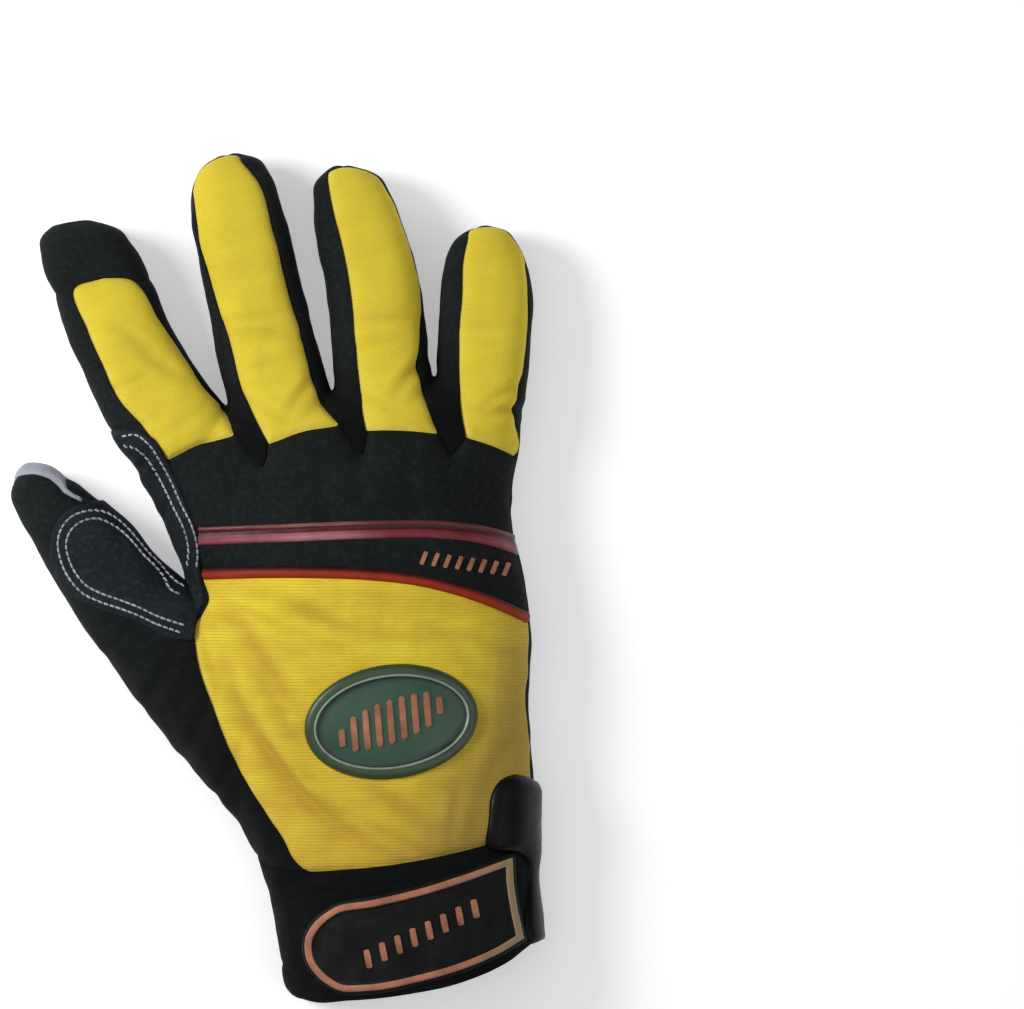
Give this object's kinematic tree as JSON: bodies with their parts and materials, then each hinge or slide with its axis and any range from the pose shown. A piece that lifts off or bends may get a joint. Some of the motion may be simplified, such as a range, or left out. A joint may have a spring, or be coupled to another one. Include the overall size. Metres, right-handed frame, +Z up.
{
  "type": "mechanic's glove",
  "caption": "Right-hand mechanic's glove with a grey suede palm, yellow ribbed back, padded knuckle band and moulded wrist strap, filled out and lying palm down",
  "frame": {"origin": "under the middle of the glove, on the surface it lies on", "axes": "+Z up out of the back of the hand, +Y towards the fingertips, the thumb on the -X side"},
  "size_m": [0.156, 0.2486, 0.0404],
  "materials": {
    "yellow_knit": "ribbed stretch knit, matt",
    "black_neoprene": "knit-faced foam, matt",
    "black_cloth": "fine woven stretch cloth, matt",
    "grey_suede": "synthetic suede, matt",
    "black_rubber": "silicone, satin",
    "red_piping": "piping cord, satin",
    "reflective_film": "glossy reflective film",
    "orange_trim": "moulded, satin",
    "green_moulding": "moulded, satin"
  },
  "bodies": {
    "root": {"cuff": "black_neoprene", "knuckle_piping": "red_piping", "finger_back_index": "yellow_knit", "finger_back_middle": "yellow_knit", "finger_back_ring": "yellow_knit", "finger_back_little": "yellow_knit", "knuckle_band": "black_neoprene", "back_panel": "yellow_knit", "index_tip_cap": "black_neoprene", "thumb_front": "grey_suede", "palm_panel": "grey_suede", "thumb_back": "black_cloth", "index_side": "black_cloth", "fourchette_index_middle": "black_cloth", "fourchette_middle_ring": "black_cloth", "fourchette_ring_little": "black_cloth", "little_side": "black_cloth", "reflective_tape": "reflective_film", "crotch_patch": "black_cloth", "back_badge": "green_moulding", "wrist_strap": "black_rubber", "strap_trim": "orange_trim", "closure_tab": "black_rubber", "tip_pad_index": "black_rubber", "tip_pad_middle": "black_rubber", "tip_pad_ring": "black_rubber", "tip_pad_little": "black_rubber", "thumb_pad": "black_rubber"}
  },
  "joints": []
}
